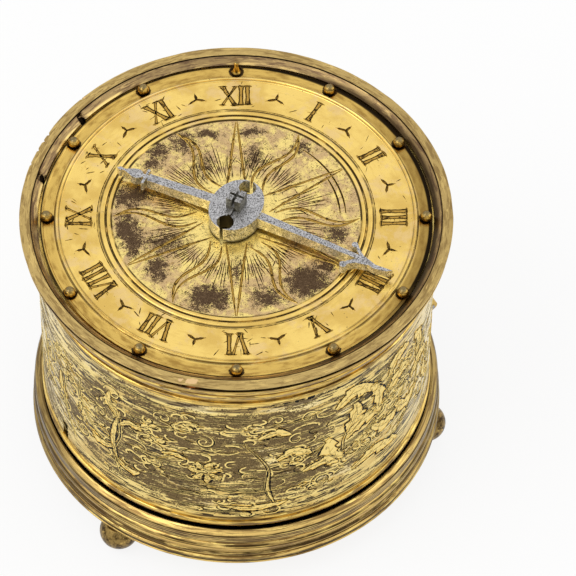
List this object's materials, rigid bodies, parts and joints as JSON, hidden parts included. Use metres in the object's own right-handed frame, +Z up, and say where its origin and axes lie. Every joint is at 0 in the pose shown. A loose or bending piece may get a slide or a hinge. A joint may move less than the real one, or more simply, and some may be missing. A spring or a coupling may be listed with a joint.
{
  "type": "drum clock",
  "caption": "Round gilt drum table clock on ball feet, with a touch-stud dial, one steel hour hand and a hinged base over its fusee and foliot movement.",
  "frame": {"origin": "centre of the drum on the table, at the underside of the feet", "axes": "+Z up along the axis of the drum, +Y to twelve on the dial, +X to three"},
  "size_m": [0.0705, 0.07, 0.0603],
  "materials": {
    "gilt_case": "fire-gilt brass, worn to brown in patches, satin",
    "gilt_dial": "fire-gilt brass, bright, satin",
    "aged_brass": "aged brass, dull",
    "steel": "filed steel, grey, satin",
    "dark_steel": "dark tempered steel, satin",
    "iron": "wrought iron, filed, satin",
    "gut": "twisted gut, semi-matt",
    "bristle": "hog bristle, matt"
  },
  "bodies": {
    "base": {"base_ring": "aged_brass", "base_plate": "aged_brass", "ball_feet": "aged_brass", "hinge_leaf": "aged_brass"},
    "case": {"case_band": "gilt_case", "bezel_rim": "aged_brass", "dial_plate": "gilt_dial", "touch_studs": "aged_brass", "noon_stud": "aged_brass", "dial_feet": "iron", "dial_foot_pins": "iron", "dial_side_plate": "iron", "back_plate": "iron", "pillars": "iron", "pillar_pins": "iron", "barrel_arbor": "steel", "setup_ratchet": "steel", "click_spring": "dark_steel", "gut_line": "gut", "stop_block": "iron", "potence": "iron", "counter_potence": "iron", "balance_cock": "gilt_case", "plate_screws": "steel", "hinge_ears": "gilt_case", "hinge_pin": "steel"},
    "hour_wheel": {"hour_wheel": "iron"},
    "hand": {"hour_hand": "steel", "hour_arbor": "steel", "hand_pin": "steel", "hand_spring": "dark_steel"},
    "fusee": {"great_wheel": "iron", "fusee": "iron", "fusee_arbor": "steel", "fusee_ratchet": "steel", "fusee_click": "steel", "report_pinion": "steel"},
    "barrel": {"barrel": "iron", "barrel_cap": "iron", "mainspring": "dark_steel"},
    "second_wheel": {"second_wheel": "iron", "second_arbor": "steel"},
    "contrate_wheel": {"contrate_wheel": "iron", "contrate_arbor": "steel"},
    "crown_wheel": {"crown_wheel": "iron", "crown_arbor": "steel"},
    "verge": {"verge": "steel", "foliot": "steel", "foliot_weights": "aged_brass"},
    "regulator": {"bristle_arm": "steel", "bristles": "bristle"},
    "setup_click": {"setup_click": "steel"},
    "stop_lever": {"stop_lever": "steel"},
    "latch_a": {"movement_latch_a": "steel"},
    "latch_b": {"movement_latch_b": "steel"},
    "catch": {"base_catch": "dark_steel"}
  },
  "joints": [
    {"name": "case_hinge", "type": "hinge", "parent": "base", "child": "case", "pos_m": [0.03079, 0.01707, 0.0137], "axis": [-0.4848, 0.8746, 0], "range_deg": [0, 100]},
    {"name": "catch_press", "type": "hinge", "parent": "base", "child": "catch", "pos_m": [-0.02689, -0.01491, 0.0068], "axis": [-0.4848, 0.8746, 0], "range_deg": [0, 4], "stiffness_Nm_per_rad": 0.05},
    {"name": "great_wheel_turn", "type": "hinge", "parent": "case", "child": "fusee", "pos_m": [-0.0118, -0.00826, 0.0456], "axis": [0, 0, 1], "continuous": true},
    {"name": "hour_wheel_turn", "type": "hinge", "parent": "case", "child": "hour_wheel", "pos_m": [0, 0, 0.0512], "axis": [0, 0, 1], "continuous": true},
    {"name": "hand_setting", "type": "hinge", "parent": "hour_wheel", "child": "hand", "pos_m": [0, 0, 0.05472], "axis": [0, 0, 1], "continuous": true},
    {"name": "barrel_turn", "type": "hinge", "parent": "case", "child": "barrel", "pos_m": [0.01425, -0.00998, 0.0208], "axis": [0, 0, 1], "continuous": true},
    {"name": "second_wheel_turn", "type": "hinge", "parent": "case", "child": "second_wheel", "pos_m": [-0.0118, 0.00534, 0.0474], "axis": [0, 0, 1], "continuous": true},
    {"name": "contrate_wheel_turn", "type": "hinge", "parent": "case", "child": "contrate_wheel", "pos_m": [-0.00694, 0.01376, 0.028], "axis": [0, 0, 1], "continuous": true},
    {"name": "crown_wheel_turn", "type": "hinge", "parent": "case", "child": "crown_wheel", "pos_m": [0.0029, 0.00204, 0.026], "axis": [-0.6428, 0.766, 0], "continuous": true},
    {"name": "verge_swing", "type": "hinge", "parent": "case", "child": "verge", "pos_m": [0.0029, 0.00204, 0.0142], "axis": [0, 0, 1], "range_deg": [-38, 38]},
    {"name": "regulator_turn", "type": "hinge", "parent": "case", "child": "regulator", "pos_m": [0.00175, -0.01111, 0.01665], "axis": [0, 0, 1], "range_deg": [-5, 5]},
    {"name": "setup_click_lift", "type": "hinge", "parent": "case", "child": "setup_click", "pos_m": [0.01759, -0.01625, 0.0166], "axis": [0, 0, -1], "range_deg": [0, 20], "stiffness_Nm_per_rad": 0.002},
    {"name": "stop_lever_lift", "type": "hinge", "parent": "case", "child": "stop_lever", "pos_m": [-0.0213, -0.01586, 0.02485], "axis": [0, -1, 0], "range_deg": [0, 12], "stiffness_Nm_per_rad": 0.002},
    {"name": "latch_a_turn", "type": "hinge", "parent": "case", "child": "latch_a", "pos_m": [0.0127, 0.022, 0.01665], "axis": [0, 0, 1], "range_deg": [0, 90]},
    {"name": "latch_b_turn", "type": "hinge", "parent": "case", "child": "latch_b", "pos_m": [-0.0127, -0.022, 0.01665], "axis": [0, 0, 1], "range_deg": [0, 90]}
  ],
  "couplings": [
    {"joint": "hour_wheel_turn", "follows": "great_wheel_turn", "ratio": -0.33333},
    {"joint": "barrel_turn", "follows": "great_wheel_turn", "ratio": 0.5163},
    {"joint": "second_wheel_turn", "follows": "great_wheel_turn", "ratio": -7.5},
    {"joint": "contrate_wheel_turn", "follows": "great_wheel_turn", "ratio": 60},
    {"joint": "crown_wheel_turn", "follows": "great_wheel_turn", "ratio": 420}
  ]
}
